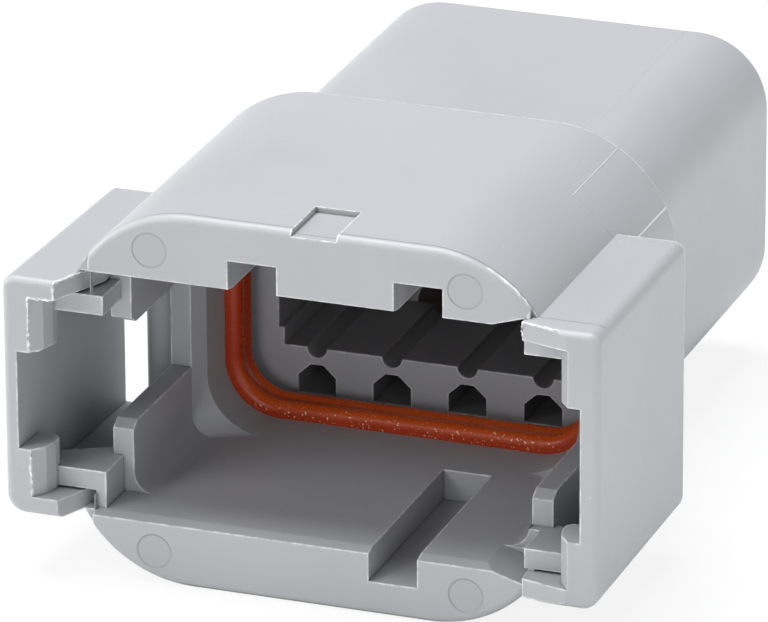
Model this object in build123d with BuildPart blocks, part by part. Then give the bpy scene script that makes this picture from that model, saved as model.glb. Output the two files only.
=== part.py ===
from build123d import *
import os

# Sealed eight-way wire receptacle: one moulded housing, the ring seal inside its mating tube
# and the wire seal in its rear. X is the width, +Y runs from the mating front to the wire entry
# and +Z is up. Millimetres. Depths run back from the hood's lip, and widths and heights run from
# the middle of the contacts.

# Hood and rear body
overall_length = 42.04
hood_width = 26.4
hood_height = 20.2
hood_radius = 6.8
hood_length = 19.1
hood_offset = 0.12
lip_rounding = 0.4
body_width = 22.3
body_height = 15.7
body_radius = 3.95
rear_rounding = 0.5

# Mating cavity inside the hood, with its polarising notches
cavity_width = 21.34
cavity_height = 13.0
cavity_depth = 11.15
cavity_corner = 1.1
notch_rise = 1.67
left_notch = (-4.2, -1.6)
right_notch = (4.63, 7.2)
keyway = (3.2, 5.8)
lip_lead_in = 0.15
lip_tip = 11.75
lip_flare = (9.3, 11.45, 0.65, 3.0)
gate_notch = (-0.8, 1.6)
gate_notch_length = 3.6
gate_notch_depth = 0.3

# Rails: the side walls of the cavity, cut down to let the mating latch past
rail_wall = 1.13
rail_start = 0.7
rail_front = 11.25
left_rib_start = 3.1
right_rib_start = 3.6
rib_lead_length = 0.6
rib_lead_height = 0.35

# Ears: a C-shaped guard on each side, the right one taller, the left one flared to the front.
# The half-widths are at the front. A slanted front is given by its X in front, its X behind and its depth.
left_ear_height = 12.9
left_ear_half_width = 16.1
left_ear_wall = 0.8
left_ear_slant = (13.25, 11.8, 2.4)
right_ear_height = 14.8
right_ear_half_width = 15.75
right_ear_wall = 1.0
right_ear_slant = (14.0, 11.5, -0.35)
ear_drop = 0.25
ear_lead = 1.0
ear_length = 13.5
ear_rear_width = 15.72
ear_plate = 1.0
ear_top_rounding = 0.6
ear_foot_rounding = 1.0
ear_front_rounding = 0.4
ear_opening = 13.55
shoulder_depth = 11.6
shoulder_rounding = 0.8

# Shelves and guide pads inside the ears
shelf_gap = 0.12
shelf_thickness = 1.05
shelf_reach = 3.0
shelf_outer_length = 1.8
shelf_inner_length = 3.4
window_margin = 3.75
pad_profile = ((0.65, -1.0), (1.2, -0.3), (1.4, 0.45), (1.4, 1.0), (1.1, 1.3))
upper_pad_height = 4.0
lower_pad_height = 3.6

# Seal tube and terminal partition
tube_width = 20.4
tube_height = 13.0
tube_radius = 3.0
tube_depth = 12.2
partition_depth = 17.94
pitch = 4.19
columns = 4
row_height = 3.65
pin_hole_diameter = 1.11
recess_width = 16.2
recess_step = 0.3
recess_step_height = 5.4
recess_length = 8.0
access_floor = 6.25
access_width = 2.1
access_shoulder = 1.01
access_peak = 1.65
access_flat = 0.7

# Interface seal
seal_depth = 14.75
seal_lobe = 1.1
seal_rise = 0.82
seal_groove = 0.4
seal_clearance = 0.03

# Wire entry and wire seal
contact_bore_diameter = 2.9
entry_wall = 1.4
entry_depth = 10.5
wire_seal_length = 8.5
wire_seal_rib = 0.4
wire_seal_rib_width = 1.2
wire_seal_ribs = 3
wire_hole_diameter = 1.3

# Places worked out from the sizes above
lip_y = ear_lead - overall_length / 2
middle_x = (left_ear_half_width - right_ear_half_width) / 2
middle_z = hood_height / 2 - hood_offset
body_end = overall_length - ear_lead
left_ear = (left_ear_height, left_ear_half_width, left_ear_wall, left_ear_slant)
right_ear = (right_ear_height, right_ear_half_width, right_ear_wall, right_ear_slant)
notch_top = cavity_height / 2 + notch_rise
rail_inner = cavity_width / 2
rail_outer = rail_inner + rail_wall
ear_rear = ear_length - ear_lead
recess_end = partition_depth + recess_length
entry_floor = body_end - entry_depth
entry_width = body_width - 2 * entry_wall
entry_height = body_height - 2 * entry_wall
entry_radius = body_radius - entry_wall
column_places = [(i - (columns - 1) / 2) * pitch for i in range(columns)]
seal_length = 2 * seal_lobe


def across(depth):
    """Plane across the connector at a depth behind the lip: X to the right and Z up."""
    return Plane(origin=(middle_x, lip_y + depth, middle_z), x_dir=(1, 0, 0), z_dir=(0, -1, 0))


def level(height):
    """Level plane at a height from the middle: X to the right and Y as depth behind the lip."""
    return Plane(origin=(middle_x, lip_y, middle_z + height))


def upright(x):
    """Plane along the connector at one X: first the depth behind the lip, then the height."""
    return Plane(origin=(middle_x + x, lip_y, middle_z), x_dir=(0, 1, 0), z_dir=(1, 0, 0))


with BuildPart() as housing:
    # Hood, with its front edge rounded
    with BuildSketch(across(0)):
        with Locations((0, hood_offset)):
            RectangleRounded(hood_width, hood_height, hood_radius)
    extrude(amount=-hood_length)
    fillet(housing.faces().sort_by(Axis.Y)[0].edges(), lip_rounding)

    # Rear body
    with BuildSketch(across(hood_length)):
        RectangleRounded(body_width, body_height, body_radius)
    extrude(amount=hood_length - body_end)
    fillet(housing.faces().sort_by(Axis.Y)[-1].edges(), rear_rounding)

    # The lip ends in upright tips beside the ears
    for side in (-1, 1):
        with BuildSketch(across(0)):
            with Locations((side * (lip_tip + hood_width / 2) / 2, 0)):
                Rectangle(hood_width / 2 - lip_tip, hood_height)
        extrude(amount=-lip_rounding, mode=Mode.SUBTRACT)

    for side, ear in ((-1, left_ear), (1, right_ear)):
        ear_height, front_width, ear_wall, (nose_front, nose_tip, nose_depth) = ear

        # Outer block of the ear, its outer edges rounded
        with BuildSketch(level(-ear_drop - ear_height / 2)):
            with BuildLine():
                Polyline(
                    (side * rail_outer, ear_rear),
                    (side * ear_rear_width, ear_rear),
                    (side * front_width, -ear_lead),
                    (side * nose_front, -ear_lead),
                    (side * nose_tip, nose_depth),
                    close=True,
                )
            make_face()
        extrude(amount=ear_height)
        block = housing.edges(Select.LAST).sort_by(Axis.X if side > 0 else -Axis.X)[-4:]
        long_edges = block.filter_by(lambda edge: abs(edge.tangent_at(0.5).Y) > 0.9).sort_by(Axis.Z)
        fillet(long_edges[0], ear_foot_rounding)
        fillet(long_edges[1], ear_top_rounding)
        corner = (middle_x + side * front_width, lip_y - ear_lead, middle_z)
        front_face = housing.faces().filter_by(Axis.Y).sort_by_distance(corner)[0]
        nose_edge = front_face.edges().sort_by(Axis.X if side > 0 else -Axis.X)[0]
        outer_edges = [edge for edge in front_face.edges() if edge != nose_edge]
        fillet(outer_edges, ear_front_rounding)

        # Slot through the ear, open at the front, and at the rear beside the hood
        slot_height = ear_height - 2 * ear_plate
        with BuildSketch(level(-ear_drop - slot_height / 2)) as slot:
            with BuildLine():
                Polyline(
                    (side * rail_inner, -ear_lead),
                    (side * (front_width - ear_wall), -ear_lead),
                    (side * (ear_rear_width - ear_wall), ear_rear),
                    (side * ear_opening, ear_rear),
                    (side * ear_opening, shoulder_depth),
                    (side * rail_outer, shoulder_depth),
                    (side * rail_outer, rail_start),
                    (side * rail_inner, rail_start),
                    close=True,
                )
            make_face()
            shoulder = slot.vertices().sort_by_distance((side * ear_opening, shoulder_depth))[0]
            fillet(shoulder, shoulder_rounding)
        extrude(amount=slot_height, mode=Mode.SUBTRACT)

        # The hood's side ends at the same slant as the ear's front
        with BuildSketch(level(-cavity_height / 2)):
            with BuildLine():
                Polyline(
                    (side * rail_outer, -ear_lead),
                    (side * nose_front, -ear_lead),
                    (side * nose_tip, nose_depth),
                    close=True,
                )
            make_face()
        extrude(amount=cavity_height, mode=Mode.SUBTRACT)

    # Mating cavity with two notches above and one keyway below
    with BuildSketch(across(0)):
        RectangleRounded(cavity_width, cavity_height, cavity_corner)
        for left, right in (left_notch, right_notch):
            with Locations(((left + right) / 2, 0)):
                Rectangle(right - left, notch_top, align=(Align.CENTER, Align.MIN))
        with Locations(((keyway[0] + keyway[1]) / 2, 0)):
            Rectangle(keyway[1] - keyway[0], notch_top, align=(Align.CENTER, Align.MAX))
    extrude(amount=-cavity_depth, mode=Mode.SUBTRACT)

    # Lead-in of the lip, as wide as the tips
    with BuildSketch(across(0)):
        Rectangle(2 * lip_tip, cavity_height + 2 * lip_lead_in)
    with BuildSketch(across(rail_start)):
        Rectangle(2 * lip_tip, cavity_height)
    loft(mode=Mode.SUBTRACT)

    # Front of the cavity, wider up to the rails
    with BuildSketch(across(rail_start)):
        Rectangle(2 * rail_front, cavity_height)
    extrude(amount=rail_start - left_rib_start, mode=Mode.SUBTRACT)

    # The lip's opening flares up and down towards the right ear
    flare_start, flare_end, flare_rise, flare_depth = lip_flare
    with BuildSketch(across(0)):
        for edge in (-cavity_height / 2, cavity_height / 2):
            rise = flare_rise if edge > 0 else -flare_rise
            with BuildLine():
                Polyline((flare_start, edge), (flare_end, edge), (flare_end, edge + rise), close=True)
            make_face()
    extrude(amount=-flare_depth, mode=Mode.SUBTRACT)

    # Shallow notch on top of the lip
    with BuildSketch(level(hood_offset + hood_height / 2)):
        with Locations(((gate_notch[0] + gate_notch[1]) / 2, gate_notch_length / 2)):
            Rectangle(gate_notch[1] - gate_notch[0], gate_notch_length)
    extrude(amount=-gate_notch_depth, mode=Mode.SUBTRACT)

    for side, ear, rib_start in ((-1, left_ear, left_rib_start), (1, right_ear, right_rib_start)):
        ear_height, front_width, ear_wall, _ = ear
        plate_inner = ear_height / 2 - ear_plate
        shelf_foot = plate_inner - shelf_gap - shelf_thickness
        window = ear_height / 2 - window_margin

        # Side rails: low in front, higher behind the ribs' slanted leads, open in the middle
        with BuildSketch(upright(side * rail_inner)):
            with BuildLine():
                Polyline(
                    (rail_start, shelf_foot - ear_drop),
                    (rib_start, shelf_foot - ear_drop),
                    (rib_start, window + rib_lead_height),
                    (rib_start + rib_lead_length, window),
                    (cavity_depth, window),
                    (cavity_depth, -window),
                    (rib_start + rib_lead_length, -window),
                    (rib_start, -window - rib_lead_height),
                    (rib_start, -shelf_foot - ear_drop),
                    (rail_start, -shelf_foot - ear_drop),
                    close=True,
                )
            make_face()
        extrude(amount=side * rail_wall, mode=Mode.SUBTRACT)

        # The upper rail starts at the rib, so that its shelf stands clear of the hood
        shelf_head = shelf_foot + shelf_thickness - ear_drop
        with BuildSketch(upright(side * rail_inner)):
            with BuildLine():
                Polyline(
                    (rail_start, shelf_head),
                    (rib_start, shelf_head),
                    (rib_start, cavity_height / 2),
                    (rail_start, cavity_height / 2),
                    close=True,
                )
            make_face()
        extrude(amount=side * rail_wall, mode=Mode.SUBTRACT)

        # Gusset shelves on the outer side of the rails
        shelf_outer = rail_outer + shelf_reach
        for height in (shelf_foot, -shelf_foot - shelf_thickness):
            with BuildSketch(level(height - ear_drop)):
                with BuildLine():
                    Polyline(
                        (side * rail_front, rail_start),
                        (side * shelf_outer, rail_start),
                        (side * shelf_outer, rail_start + shelf_outer_length),
                        (side * rail_outer, rail_start + shelf_inner_length),
                        (side * rail_front, rail_start + shelf_inner_length),
                        close=True,
                    )
                make_face()
            extrude(amount=shelf_thickness)

        # Guide pads inside the front of the ear, rooted in its wall
        pad_root = front_width - ear_wall / 2
        pad_line = [
            (side * pad_root, ear_front_rounding - ear_lead),
            (side * (front_width - ear_wall), -ear_lead),
        ]
        for reach, depth in pad_profile:
            pad_line.append((side * (front_width - ear_wall - reach), depth))
        pad_line.append((side * pad_root, depth))
        for foot, pad_height in (
            (ear_height / 2 - upper_pad_height, upper_pad_height),
            (-plate_inner, lower_pad_height),
        ):
            with BuildSketch(level(foot - ear_drop)):
                with BuildLine():
                    Polyline(*pad_line, close=True)
                make_face()
            extrude(amount=pad_height - ear_plate)

    # Funnel from the cavity into the seal tube, the tube and its groove
    with BuildSketch(across(cavity_depth)):
        RectangleRounded(cavity_width, cavity_height, cavity_corner)
    with BuildSketch(across(tube_depth)):
        RectangleRounded(tube_width, tube_height, tube_radius)
    loft(mode=Mode.SUBTRACT)
    with BuildSketch(across(tube_depth)):
        RectangleRounded(tube_width, tube_height, tube_radius)
    extrude(amount=tube_depth - partition_depth, mode=Mode.SUBTRACT)
    with BuildSketch(across(seal_depth)):
        RectangleRounded(
            tube_width + 2 * seal_groove,
            tube_height + 2 * seal_groove,
            tube_radius + seal_groove,
        )
    extrude(amount=-seal_length, mode=Mode.SUBTRACT)

    # Recess for a terminal wedge between the two rows, wider in its middle
    with BuildSketch(across(partition_depth)):
        Rectangle(recess_width, 2 * row_height)
        Rectangle(recess_width + 2 * recess_step, recess_step_height)
    extrude(amount=-recess_length, mode=Mode.SUBTRACT)

    # Pin holes along the edges of the recess, and an access window beyond each
    with BuildSketch(across(partition_depth)):
        for x in column_places:
            for up in (-1, 1):
                with Locations((x, up * row_height)):
                    Circle(pin_hole_diameter / 2)
                floor = up * access_floor
                with BuildLine():
                    Polyline(
                        (x - access_width / 2, floor),
                        (x + access_width / 2, floor),
                        (x + access_width / 2, floor - up * access_shoulder),
                        (x + access_flat / 2, floor - up * access_peak),
                        (x - access_flat / 2, floor - up * access_peak),
                        (x - access_width / 2, floor - up * access_shoulder),
                        close=True,
                    )
                make_face()
    extrude(amount=-recess_length, mode=Mode.SUBTRACT)

    # Wire entry: one chamber for the seal and a bore for each contact
    with BuildSketch(across(body_end)):
        RectangleRounded(entry_width, entry_height, entry_radius)
    extrude(amount=entry_depth, mode=Mode.SUBTRACT)
    with BuildSketch(across(recess_end)):
        with GridLocations(pitch, 2 * row_height, columns, 2):
            Circle(contact_bore_diameter / 2)
    extrude(amount=recess_end - entry_floor, mode=Mode.SUBTRACT)

with BuildPart() as interface_seal:
    # Two rounded lobes on a band that fills the groove of the tube, swept round it
    half_width = tube_width / 2
    half_height = tube_height / 2
    with BuildLine(across(seal_depth)) as seat:
        Polyline((0, -half_height), (half_width - tube_radius, -half_height))
        CenterArc((half_width - tube_radius, tube_radius - half_height), tube_radius, -90, 90)
        Line((half_width, tube_radius - half_height), (half_width, half_height - tube_radius))
        CenterArc((half_width - tube_radius, half_height - tube_radius), tube_radius, 0, 90)
        Line((half_width - tube_radius, half_height), (tube_radius - half_width, half_height))
        CenterArc((tube_radius - half_width, half_height - tube_radius), tube_radius, 90, 90)
        Line((-half_width, half_height - tube_radius), (-half_width, tube_radius - half_height))
        CenterArc((tube_radius - half_width, tube_radius - half_height), tube_radius, 180, 90)
        Line((tube_radius - half_width, -half_height), (0, -half_height))
    with BuildSketch(upright(0)):
        base = -half_height - seal_groove + seal_clearance
        lobe_radius = seal_lobe / 2 - seal_clearance
        with Locations((seal_depth + seal_lobe, base)):
            Rectangle(
                seal_length - 2 * seal_clearance,
                seal_groove - seal_clearance + seal_rise - lobe_radius,
                align=(Align.CENTER, Align.MIN),
            )
        crown = seal_rise - half_height - lobe_radius
        with Locations(
            (seal_depth + seal_lobe / 2, crown),
            (seal_depth + 1.5 * seal_lobe, crown),
        ):
            Circle(lobe_radius)
    sweep(path=seat.wire())

with BuildPart() as wire_seal:
    # Grommet in the rear chamber, with ribs round it and a hole for each wire
    seal_width = entry_width - 2 * seal_clearance
    seal_height = entry_height - 2 * seal_clearance
    seal_corner = entry_radius - seal_clearance
    with BuildSketch(across(entry_floor + seal_clearance)):
        RectangleRounded(
            seal_width - 2 * wire_seal_rib,
            seal_height - 2 * wire_seal_rib,
            seal_corner - wire_seal_rib,
        )
    extrude(amount=-wire_seal_length)
    rib_step = (wire_seal_length - wire_seal_rib_width) / (wire_seal_ribs - 1)
    for i in range(wire_seal_ribs):
        with BuildSketch(across(entry_floor + seal_clearance + i * rib_step)):
            RectangleRounded(seal_width, seal_height, seal_corner)
        extrude(amount=-wire_seal_rib_width)
    chamfer(wire_seal.faces().filter_by(Axis.Y).sort_by(Axis.Y)[-1].edges(), wire_seal_rib / 3)
    with BuildSketch(across(entry_floor + seal_clearance)):
        with GridLocations(pitch, 2 * row_height, columns, 2):
            Circle(wire_hole_diameter / 2)
    extrude(amount=-wire_seal_length, mode=Mode.SUBTRACT)

os.makedirs("parts", exist_ok=True)
for name, piece in (("housing", housing), ("interface_seal", interface_seal), ("wire_seal", wire_seal)):
    piece.part.label = name
    export_step(piece.part, f"parts/{name}.step")
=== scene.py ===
from math import cos, radians, sin
from random import Random

import bpy
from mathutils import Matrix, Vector


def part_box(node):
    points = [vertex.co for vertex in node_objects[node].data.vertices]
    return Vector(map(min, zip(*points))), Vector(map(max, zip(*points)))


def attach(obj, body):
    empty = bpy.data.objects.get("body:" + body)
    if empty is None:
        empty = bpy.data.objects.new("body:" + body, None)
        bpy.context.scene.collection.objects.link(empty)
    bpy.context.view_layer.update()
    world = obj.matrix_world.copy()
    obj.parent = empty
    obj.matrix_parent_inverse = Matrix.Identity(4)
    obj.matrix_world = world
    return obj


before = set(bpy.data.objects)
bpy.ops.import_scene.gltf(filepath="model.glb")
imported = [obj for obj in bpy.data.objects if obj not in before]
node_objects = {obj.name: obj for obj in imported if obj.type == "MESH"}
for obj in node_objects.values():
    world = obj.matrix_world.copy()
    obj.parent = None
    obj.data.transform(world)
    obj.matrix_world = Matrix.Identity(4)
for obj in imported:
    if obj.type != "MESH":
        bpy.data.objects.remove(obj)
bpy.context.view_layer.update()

MM = 0.001

# The seal runs round the middle of the contacts, and the ears reach past the hood's lip
EAR_LEAD = 1.0 * MM
seal_low, seal_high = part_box("interface_seal")
MIDDLE_X = (seal_low.x + seal_high.x) / 2
MIDDLE_Z = (seal_low.z + seal_high.z) / 2
LIP_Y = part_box("housing")[0].y + EAR_LEAD

# Marks of the mould, in millimetres from that middle and back from the lip
EJECTOR_X = 8.4
EJECTOR_HEIGHT = 8.2
EJECTOR_RADIUS = 0.9
RIM_WIDTH = 0.07
DISC_EDGE = (EJECTOR_RADIUS + 0.06, EJECTOR_RADIUS - 0.04)
LIP_SKIN = (0.08, 0.04)
TOP_HEIGHT = 5.0
BODY_LINE_X = 6.45
HOOD_REAR = 19.1
HOOD_END = (HOOD_REAR, HOOD_REAR - 0.05)
PATCH_LEFT = 9.95
PATCH_RIGHT = 12.56
PATCH_FRONT = 11.85
LINE_WIDTH = 0.035
SEAM_DEPTH = 0.5
SEAM_HEIGHT = 7.0
SEAM_WIDTH = 0.07

# A line is full within this share of its width, and a mask's border fades this far to each side
LINE_CORE = 0.3
BORDER = 0.02

# The terminal recess, whose walls and floors get painted deep shade
RECESS_FRONT = 18.1
RECESS_REAR = 26.2
RECESS_HALF_WIDTH = 8.6
RECESS_HALF_HEIGHT = 7.0

# Slivers 0.05 mm thick that the solid keeps beside the lip's left tips
SLIVER_LEFT = -11.81
SLIVER_RIGHT = -11.74
SLIVER_REAR = 0.69
SLIVER_HEIGHT = 6.56

# Colours of the plastic, and the roughness of its flash; the pale one also paints highlight on edges, the
# dark one paints shade
PLASTIC_DARK = (0.334, 0.338, 0.352, 1.0)
PLASTIC_PALE = (0.352, 0.357, 0.373, 1.0)
EDGE_PALE = (0.80, 0.80, 0.81, 1.0)
CORNER_DARK = (0.13, 0.125, 0.13, 1.0)
FLASH_DARK = (0.55, 0.55, 0.57, 1.0)
FLASH_PALE = (0.82, 0.82, 0.83, 1.0)
FLASH_ROUGHNESS = 0.45

# Noises of the plastic, as scale for millimetres and detail
FLOW_NOISE = (0.09, 3.0)
SKIN_NOISE = (9.0, 2.0)
TATTER_NOISE = (2.2, 4.0)
SPECK_NOISE = (3.6, 3.0)
FLASH_NOISE = (4.0, 2.0)

# Limits between which each noise goes from 0 to 1, or from the third number to the fourth
FLOW_RANGE = (0.35, 0.65)
TATTER_RANGE = (0.36, 0.62, 0.15, 1.0)
SPECK_RANGE = (0.755, 0.80)
FLASH_RANGE = (0.4, 0.6)
PLASTIC_ROUGHNESS = (0.3, 0.7, 0.40, 0.50)

# Edges and corners: samples, reach, and how open the surface is where each starts and where it is full
SHADER_SAMPLES = 6
EDGE_ROUNDING = 0.08 * MM
EDGE_REACH = 0.11 * MM
EDGE_RANGE = (0.97, 0.60)
CORNER_REACH = 0.22 * MM
CORNER_RANGE = (0.82, 0.35)

# How strongly each pale or dark mark on the plastic shows, the painted edge highlight and painted shade
# among them
EDGE_SHARE = 0.85
LINE_SHARE = 0.6
SPECK_SHARE = 0.6
RIM_SHARE = 0.30
DISC_SHARE = 0.08
SEAM_SHARE = 0.6
CORNER_SHARE = 0.9
RECESS_SHARE = 0.6
SLIVER_SHARE = 0.7

# Relief of the plastic, as strength and height
RELIEF = (1.0, 0.05 * MM)
SKIN_RELIEF = (0.12, 0.004 * MM)

# The rubber, with painted light: red where it faces down and orange where it faces up
RUBBER_DEEP = (0.33, 0.025, 0.003, 1.0)
RUBBER_RED = (0.40, 0.034, 0.004, 1.0)
RUBBER_ORANGE = (0.62, 0.085, 0.008, 1.0)
CLOUD_NOISE = (0.5, 3.0)
CLOUD_RANGE = (0.3, 0.7)
UPWARD_RANGE = (-0.1, 0.9)
GRAIN_NOISE = (6.5, 3.0)
GRAIN_RELIEF = (0.4, 0.02 * MM)
RUBBER_ROUGHNESS = (0.3, 0.7, 0.22, 0.42)
RUBBER_SHINE = 0.35

# Painted glints on the lower run of the seal's front lobe
SEAL_MIDDLE = ((seal_low.y + seal_high.y) / 2 - LIP_Y) / MM
GLINT_COLOUR = (0.95, 0.60, 0.42, 1.0)
GLINT_NOISE = (6.5, 1.0)
GLINT_RANGE = (0.665, 0.70)
GLINT_HEIGHT = (-5.70, -5.80)
GLINT_DEPTH = (SEAL_MIDDLE - 0.40, SEAL_MIDDLE - 0.50)

# Thin flash on edges of the ears and the lip, as points of X, depth and height
FLASH_PATHS = (
    ((-13.4, -0.98, 5.18), (-14.65, -0.98, 5.18), (-14.65, -0.98, 2.2), (-14.2, -0.42, 2.2)),
    ((-13.25, -0.98, 5.2), (-13.25, -0.98, 6.15), (-12.5, 0.75, 6.18), (-12.0, 1.93, 6.18)),
    ((-14.65, -0.99, -3.15), (-14.65, -0.99, -5.6)),
    ((13.6, -0.90, 7.13), (12.6, -0.64, 7.13), (11.5, -0.35, 7.13), (11.5, -0.35, 6.3)),
    ((11.72, 0.04, 6.72), (11.73, 0.10, 7.5)),
)

# A last thread on an arc at the hood's right edge
HOOD_ARC_X = 6.4
HOOD_ARC_HEIGHT = 3.42
HOOD_ARC_RADIUS = 6.77
HOOD_ARC_DEPTH = 0.34
HOOD_ARC_ANGLES = range(64, 39, -4)

# How the threads wander off their paths, how thick they are and how thin at their tips
FLASH_SEED = 7
FLASH_STEP = 0.14
FLASH_RADIUS = (0.03, 0.055)
FLASH_WANDER = 0.025
FLASH_TIP = 0.25
FLASH_SIDES = 6

# Floor and world, plain white to the camera
WHITE = (1.0, 1.0, 1.0, 1.0)
FLOOR_REACH = 6.0
FLOOR_COLOUR = (0.82, 0.82, 0.82, 1.0)
FLOOR_WHITE_SHARE = 0.86
WORLD_COLOUR = (0.94, 0.96, 1.0, 1.0)
WORLD_STRENGTH = 0.13

# Round soft lamps: name, place and diameter in metres, power in watts, and colour
LAMPS = (
    ("top_softbox", (-0.10, 0.06, 0.55), 0.45, 4.7, (0.97, 0.985, 1.0)),
    ("front_fill", (-0.30, -0.38, 0.34), 0.30, 1.35, (1.0, 0.99, 0.99)),
    ("low_fill", (0.02, -0.60, 0.12), 0.22, 0.6, (1.0, 1.0, 1.0)),
    ("left_fill", (-0.50, -0.05, 0.16), 0.25, 1.4, (1.0, 1.0, 1.0)),
    ("right_fill", (0.50, 0.02, 0.16), 0.25, 0.8, (0.97, 0.98, 1.0)),
    ("right_front_fill", (0.30, -0.30, 0.14), 0.22, 0.25, (1.0, 1.0, 1.0)),
)

# Camera, measured from the photograph's perspective
CAMERA_PLACE = (0.132219, -0.365527, 0.163937)
CAMERA_ANGLES = (68.2008, 0.3134, 20.1913)
CAMERA_LENS = 375.0
CAMERA_SENSOR = 36.0
CAMERA_NEAR = 0.01


class Nodes:
    """The node tree of a material or a world, with short calls that add a node and link it."""

    def __init__(self, owner):
        owner.use_nodes = True
        self.owner = owner
        self.tree = owner.node_tree
        self.tree.nodes.clear()

    def feed(self, socket, value):
        if isinstance(value, bpy.types.NodeSocket):
            self.tree.links.new(value, socket)
        else:
            socket.default_value = value

    def add(self, kind, settings=None, **inputs):
        node = self.tree.nodes.new(kind)
        for key, value in (settings or {}).items():
            setattr(node, key, value)
        for key, value in inputs.items():
            self.feed(node.inputs[key.replace("_", " ")], value)
        return node

    def math(self, operation, *values):
        node = self.add("ShaderNodeMath", {"operation": operation})
        for socket, value in zip(node.inputs, values):
            self.feed(socket, value)
        return node.outputs[0]

    def vector(self, operation, first, second):
        node = self.add("ShaderNodeVectorMath", {"operation": operation})
        self.feed(node.inputs[0], first)
        self.feed(node.inputs["Scale" if operation == "SCALE" else 1], second)
        return node.outputs["Value" if operation == "DOT_PRODUCT" else "Vector"]

    def noise(self, place, scale, detail):
        return self.add("ShaderNodeTexNoise", Vector=place, Scale=scale, Detail=detail).outputs["Fac"]

    def ramp(self, value, low, high, low_value=0.0, high_value=1.0):
        """A value's place between two limits, from one number to another and no further."""
        node = self.add("ShaderNodeMapRange")
        for socket, number in zip(node.inputs, (value, low, high, low_value, high_value)):
            self.feed(socket, number)
        return node.outputs["Result"]

    def mix(self, factor, first, second):
        """Two colours mixed by a factor."""
        node = self.add("ShaderNodeMix", {"data_type": "RGBA"})
        for key, value in (("Factor", factor), ("A", first), ("B", second)):
            socket = next(item for item in node.inputs if item.name == key and item.enabled)
            self.feed(socket, value)
        return next(item for item in node.outputs if item.enabled)

    def blend(self, factor, first, second):
        """Two shaders mixed by a factor."""
        node = self.add("ShaderNodeMixShader", Fac=factor)
        self.feed(node.inputs[1], first)
        self.feed(node.inputs[2], second)
        return node.outputs["Shader"]

    def bump(self, height, strength, distance, **normal):
        node = self.add("ShaderNodeBump", Height=height, Strength=strength, Distance=distance, **normal)
        return node.outputs["Normal"]

    def openness(self, reach, inside=False):
        """How open the surface is within a reach, or how thick it is behind where inside is True."""
        settings = {"samples": SHADER_SAMPLES, "inside": inside}
        return self.add("ShaderNodeAmbientOcclusion", settings, Distance=reach).outputs["AO"]

    def all_of(self, *masks):
        """The product of several masks, and of a share if one is given."""
        product = masks[0]
        for mask in masks[1:]:
            product = self.math("MULTIPLY", product, mask)
        return product

    def any_of(self, *masks):
        """The largest of several masks."""
        largest = masks[0]
        for mask in masks[1:]:
            largest = self.math("MAXIMUM", largest, mask)
        return largest

    def above(self, value, limit):
        """1 above a limit and 0 below it."""
        return self.ramp(value, limit - BORDER, limit + BORDER)

    def within(self, value, limit):
        """1 where a value is less than a limit on either side of 0."""
        return self.math("LESS_THAN", self.math("ABSOLUTE", value), limit)

    def line(self, value, place, width=LINE_WIDTH):
        """1 on a thin line where a coordinate has one value."""
        away = self.math("ABSOLUTE", self.math("SUBTRACT", value, place))
        return self.ramp(away, width, width * LINE_CORE)

    def measured(self):
        """Object coordinates in millimetres, together and as X, depth behind the lip and height."""
        place = self.add("ShaderNodeTexCoord").outputs["Object"]
        shifted = self.vector("SUBTRACT", place, (MIDDLE_X, LIP_Y, MIDDLE_Z))
        scaled = self.vector("SCALE", shifted, 1 / MM)
        split = self.add("ShaderNodeSeparateXYZ", Vector=scaled)
        return scaled, split.outputs["X"], split.outputs["Y"], split.outputs["Z"]

    def material(self, **inputs):
        """The material, finished with one Principled shader."""
        shader = self.add("ShaderNodeBsdfPrincipled", **inputs)
        self.add("ShaderNodeOutputMaterial", Surface=shader.outputs["BSDF"])
        return self.owner


def ejector_marks(nodes, x, depth, z):
    """The rims and the discs of the four round marks on the lip's front."""
    across = nodes.math("SUBTRACT", nodes.math("ABSOLUTE", x), EJECTOR_X)
    up = nodes.math("SUBTRACT", nodes.math("ABSOLUTE", z), EJECTOR_HEIGHT)
    squares = nodes.math("ADD", nodes.math("MULTIPLY", across, across), nodes.math("MULTIPLY", up, up))
    ring = nodes.math("SQRT", squares)
    on_lip = nodes.ramp(depth, *LIP_SKIN)
    rim = nodes.all_of(nodes.line(ring, EJECTOR_RADIUS, RIM_WIDTH), on_lip)
    return rim, nodes.all_of(nodes.ramp(ring, *DISC_EDGE), on_lip)


def parting_lines(nodes, x, depth, z):
    """Fine raised lines where the parts of the mould met, on the body's top and the hood's shoulder."""
    body = nodes.all_of(nodes.line(x, BODY_LINE_X), nodes.above(depth, HOOD_REAR))
    sides = nodes.any_of(nodes.line(x, PATCH_LEFT), nodes.line(x, PATCH_RIGHT))
    front = nodes.all_of(nodes.line(depth, PATCH_FRONT), nodes.above(x, PATCH_LEFT))
    patch = nodes.any_of(nodes.all_of(sides, nodes.above(depth, PATCH_FRONT)), front)
    hood = nodes.all_of(patch, nodes.ramp(depth, *HOOD_END))
    return nodes.all_of(nodes.any_of(body, hood), nodes.above(z, TOP_HEIGHT))


def sliver_mask(nodes, x, depth, z):
    """1 on the thin slivers beside the lip's left tips, which get painted shade to blend with the shade
    behind them.
    """
    right_of = nodes.math("GREATER_THAN", x, SLIVER_LEFT)
    left_of = nodes.math("LESS_THAN", x, SLIVER_RIGHT)
    before = nodes.math("LESS_THAN", depth, SLIVER_REAR)
    return nodes.all_of(right_of, left_of, nodes.within(z, SLIVER_HEIGHT), before)


def recess_mask(nodes, x, depth, z):
    """1 on the walls and floors of the terminal recess, where deep shade is painted."""
    behind = nodes.above(depth, RECESS_FRONT)
    before = nodes.math("LESS_THAN", depth, RECESS_REAR)
    return nodes.all_of(
        nodes.within(x, RECESS_HALF_WIDTH), nodes.within(z, RECESS_HALF_HEIGHT), behind, before
    )


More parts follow.
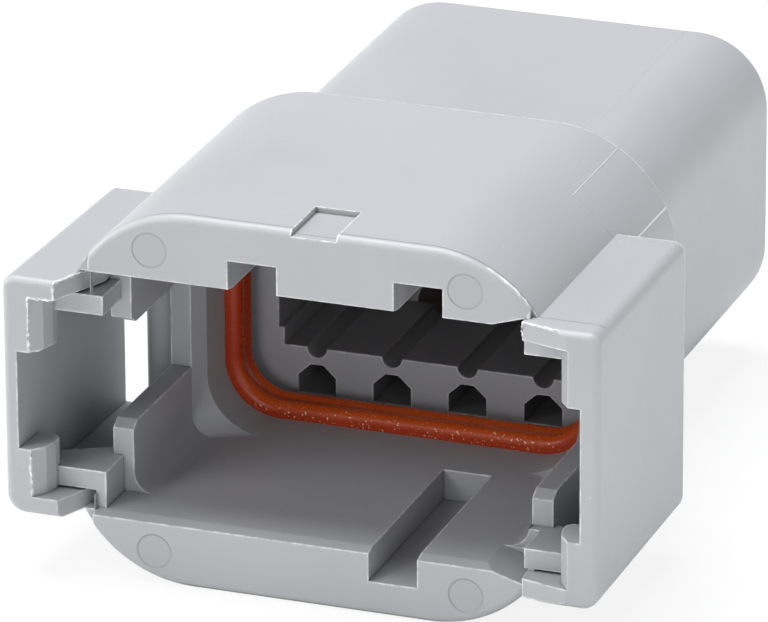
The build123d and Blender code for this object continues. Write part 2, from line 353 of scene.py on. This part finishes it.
def moulded_plastic():
    """Light grey moulded plastic with flow shading, a fine skin and the marks of its mould, with painted
    highlight on edges and painted shade in corners, grooves and the recess.
    """
    nodes = Nodes(bpy.data.materials.new("moulded_plastic"))
    place, x, depth, z = nodes.measured()
    lines = parting_lines(nodes, x, depth, z)
    rim, disc = ejector_marks(nodes, x, depth, z)
    flow = nodes.ramp(nodes.noise(place, *FLOW_NOISE), *FLOW_RANGE)
    base = nodes.mix(flow, PLASTIC_DARK, PLASTIC_PALE)

    # Pale edges: partly rough flash of the mould, partly painted highlight where the edges catch the light
    tatter = nodes.ramp(nodes.noise(place, *TATTER_NOISE), *TATTER_RANGE)
    edge = nodes.all_of(nodes.ramp(nodes.openness(EDGE_REACH, inside=True), *EDGE_RANGE), tatter)
    speck = nodes.ramp(nodes.noise(place, *SPECK_NOISE), *SPECK_RANGE, 0.0, SPECK_SHARE)
    pale = nodes.any_of(nodes.all_of(edge, EDGE_SHARE), nodes.all_of(lines, LINE_SHARE), speck)
    worn_and_highlit = nodes.mix(pale, base, EDGE_PALE)

    # A dark seam line and slightly darker mark discs in the plastic's own tone, and painted shade in the
    # grooves of the mark rims
    seam = nodes.all_of(nodes.line(depth, SEAM_DEPTH, SEAM_WIDTH), nodes.above(z, SEAM_HEIGHT), SEAM_SHARE)
    mark = nodes.any_of(nodes.all_of(rim, RIM_SHARE), nodes.all_of(disc, DISC_SHARE), seam)
    marked = nodes.mix(mark, worn_and_highlit, CORNER_DARK)

    # Painted shade: darker in corners and creases, in the terminal recess and on the slivers
    corner = nodes.ramp(nodes.openness(CORNER_REACH), *CORNER_RANGE, 0.0, CORNER_SHARE)
    recess = nodes.all_of(recess_mask(nodes, x, depth, z), RECESS_SHARE)
    sliver = nodes.all_of(sliver_mask(nodes, x, depth, z), SLIVER_SHARE)
    colour = nodes.mix(nodes.any_of(corner, recess, sliver), marked, CORNER_DARK)

    skin = nodes.noise(place, *SKIN_NOISE)
    rounding = nodes.add("ShaderNodeBevel", {"samples": SHADER_SAMPLES}, Radius=EDGE_ROUNDING)
    relief = nodes.bump(nodes.math("SUBTRACT", lines, disc), *RELIEF, Normal=rounding.outputs["Normal"])
    normal = nodes.bump(skin, *SKIN_RELIEF, Normal=relief)
    return nodes.material(Base_Color=colour, Normal=normal, Roughness=nodes.ramp(skin, *PLASTIC_ROUGHNESS))


def seal_rubber(name):
    """Orange-red silicone rubber with a soft sheen, painted light where it faces up and painted glinting
    specks.
    """
    nodes = Nodes(bpy.data.materials.new(name))
    place, _, depth, z = nodes.measured()
    normal = nodes.add("ShaderNodeNewGeometry").outputs["Normal"]
    # Painted light: orange where the rubber faces up, red where it faces down
    upward = nodes.ramp(nodes.vector("DOT_PRODUCT", normal, (0, 0, 1)), *UPWARD_RANGE)
    cloud = nodes.ramp(nodes.noise(place, *CLOUD_NOISE), *CLOUD_RANGE)
    rubber = nodes.mix(upward, nodes.mix(cloud, RUBBER_DEEP, RUBBER_RED), RUBBER_ORANGE)
    # Painted glints: pale specks in the colour on the lower run of the front lobe
    lobe = nodes.all_of(nodes.ramp(z, *GLINT_HEIGHT), nodes.ramp(depth, *GLINT_DEPTH))
    glint = nodes.all_of(lobe, nodes.ramp(nodes.noise(place, *GLINT_NOISE), *GLINT_RANGE))
    grain = nodes.noise(place, *GRAIN_NOISE)
    return nodes.material(
        Base_Color=nodes.mix(glint, rubber, GLINT_COLOUR),
        Roughness=nodes.ramp(grain, *RUBBER_ROUGHNESS),
        Normal=nodes.bump(grain, *GRAIN_RELIEF),
        Specular_IOR_Level=RUBBER_SHINE,
    )


def flash_plastic():
    """The same plastic, pale and rough where it was squeezed out of the mould's joint."""
    nodes = Nodes(bpy.data.materials.new("flash_plastic"))
    cloud = nodes.ramp(nodes.noise(nodes.measured()[0], *FLASH_NOISE), *FLASH_RANGE)
    return nodes.material(Base_Color=nodes.mix(cloud, FLASH_DARK, FLASH_PALE), Roughness=FLASH_ROUGHNESS)


def mesh_object(name, vertices, faces, material):
    """A new object in the scene, with a mesh of one material."""
    mesh = bpy.data.meshes.new(name)
    mesh.from_pydata(vertices, [], faces)
    mesh.materials.append(material)
    made = bpy.data.objects.new(name, mesh)
    bpy.context.collection.objects.link(made)
    return made


def flash_points(path, random):
    """Points along a path at even steps, each a little off it."""
    points = []
    for first, second in zip(path, path[1:]):
        start, end = Vector(first), Vector(second)
        steps = max(2, round((end - start).length / FLASH_STEP))
        points += [start.lerp(end, step / steps) for step in range(steps)]
    points.append(Vector(path[-1]))
    return [point + Vector([random.gauss(0, FLASH_WANDER) for _ in range(3)]) for point in points]


def thread_vertices(points, random):
    """A ring of vertices round each point, in metres, smaller at both tips."""
    last = len(points) - 1
    for i, point in enumerate(points):
        along = points[min(i + 1, last)] - points[max(i - 1, 0)]
        turn = along.to_track_quat("Z", "Y")
        radius = random.uniform(*FLASH_RADIUS) * (FLASH_TIP if i in (0, last) else 1.0)
        for side in range(FLASH_SIDES):
            angle = radians(360 * side / FLASH_SIDES)
            place = point + turn @ Vector((radius * cos(angle), radius * sin(angle), 0))
            yield MIDDLE_X + place.x * MM, LIP_Y + place.y * MM, MIDDLE_Z + place.z * MM


def thread_faces(first, rings):
    """Faces between a thread's rings, from its first vertex on, and its two ends."""
    end = first + (rings - 1) * FLASH_SIDES
    for low in range(first, end, FLASH_SIDES):
        for side in range(FLASH_SIDES):
            after = (side + 1) % FLASH_SIDES
            yield low + side, low + after, low + FLASH_SIDES + after, low + FLASH_SIDES + side
    yield [first + side for side in reversed(range(FLASH_SIDES))]
    yield [end + side for side in range(FLASH_SIDES)]


def hood_arc_point(degrees):
    """A point of the arc at the hood's right edge."""
    across = HOOD_ARC_RADIUS * cos(radians(degrees))
    up = HOOD_ARC_RADIUS * sin(radians(degrees))
    return HOOD_ARC_X + across, HOOD_ARC_DEPTH, HOOD_ARC_HEIGHT + up


def make_flash():
    """One mesh of uneven threads of flash."""
    random = Random(FLASH_SEED)
    vertices, faces = [], []
    for path in (*FLASH_PATHS, [hood_arc_point(degrees) for degrees in HOOD_ARC_ANGLES]):
        points = flash_points(path, random)
        faces += thread_faces(len(vertices), len(points))
        vertices += thread_vertices(points, random)
    flash = mesh_object("mould_flash", vertices, faces, flash_plastic())
    flash.data.shade_smooth()
    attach(flash, "root")


def paint(node_object, material):
    """Give every face of a CAD node one material."""
    for slot in node_object.material_slots:
        slot.material = material
    if not node_object.material_slots:
        node_object.data.materials.append(material)


def floor_material():
    """Nearly plain white to the camera, with the object's soft shadow."""
    nodes = Nodes(bpy.data.materials.new("floor_white"))
    lit = nodes.add("ShaderNodeBsdfDiffuse", Color=FLOOR_COLOUR)
    white = nodes.add("ShaderNodeEmission", Color=WHITE, Strength=1.0)
    seen = nodes.add("ShaderNodeLightPath").outputs["Is Camera Ray"]
    share = nodes.math("MULTIPLY", seen, FLOOR_WHITE_SHARE)
    surface = nodes.blend(share, lit.outputs["BSDF"], white.outputs["Emission"])
    nodes.add("ShaderNodeOutputMaterial", Surface=surface)
    return nodes.owner


def make_floor():
    sides = ((-1, -1), (1, -1), (1, 1), (-1, 1))
    corners = [(x * FLOOR_REACH, y * FLOOR_REACH, 0) for x, y in sides]
    mesh_object("floor", corners, [(0, 1, 2, 3)], floor_material())


def make_world():
    """Soft even light all round, plain white where the camera sees it."""
    world = bpy.data.worlds.new("studio")
    bpy.context.scene.world = world
    nodes = Nodes(world)
    light = nodes.add("ShaderNodeBackground", Color=WORLD_COLOUR, Strength=WORLD_STRENGTH)
    white = nodes.add("ShaderNodeBackground", Color=WHITE, Strength=1.0)
    seen = nodes.add("ShaderNodeLightPath").outputs["Is Camera Ray"]
    surface = nodes.blend(seen, light.outputs["Background"], white.outputs["Background"])
    nodes.add("ShaderNodeOutputWorld", Surface=surface)


def make_lamp(name, place, diameter, power, colour):
    """A round soft lamp aimed at the middle of the connector."""
    data = bpy.data.lights.new(name, "AREA")
    data.shape = "DISK"
    data.size = diameter
    data.energy = power
    data.color = colour
    lamp = bpy.data.objects.new(name, data)
    lamp.location = place
    direction = Vector((0, 0, MIDDLE_Z)) - Vector(place)
    lamp.rotation_euler = direction.to_track_quat("-Z", "Y").to_euler()
    bpy.context.collection.objects.link(lamp)


def make_camera():
    data = bpy.data.cameras.new("camera")
    data.lens = CAMERA_LENS
    data.sensor_width = CAMERA_SENSOR
    data.clip_start = CAMERA_NEAR
    camera = bpy.data.objects.new("camera", data)
    camera.location = CAMERA_PLACE
    camera.rotation_euler = [radians(angle) for angle in CAMERA_ANGLES]
    bpy.context.collection.objects.link(camera)
    bpy.context.scene.camera = camera


paint(node_objects["housing"], moulded_plastic())
paint(node_objects["interface_seal"], seal_rubber("ring_seal_rubber"))
paint(node_objects["wire_seal"], seal_rubber("wire_seal_rubber"))
make_flash()

make_floor()
make_world()
for lamp in LAMPS:
    make_lamp(*lamp)
make_camera()
bpy.context.scene.view_settings.view_transform = "Standard"
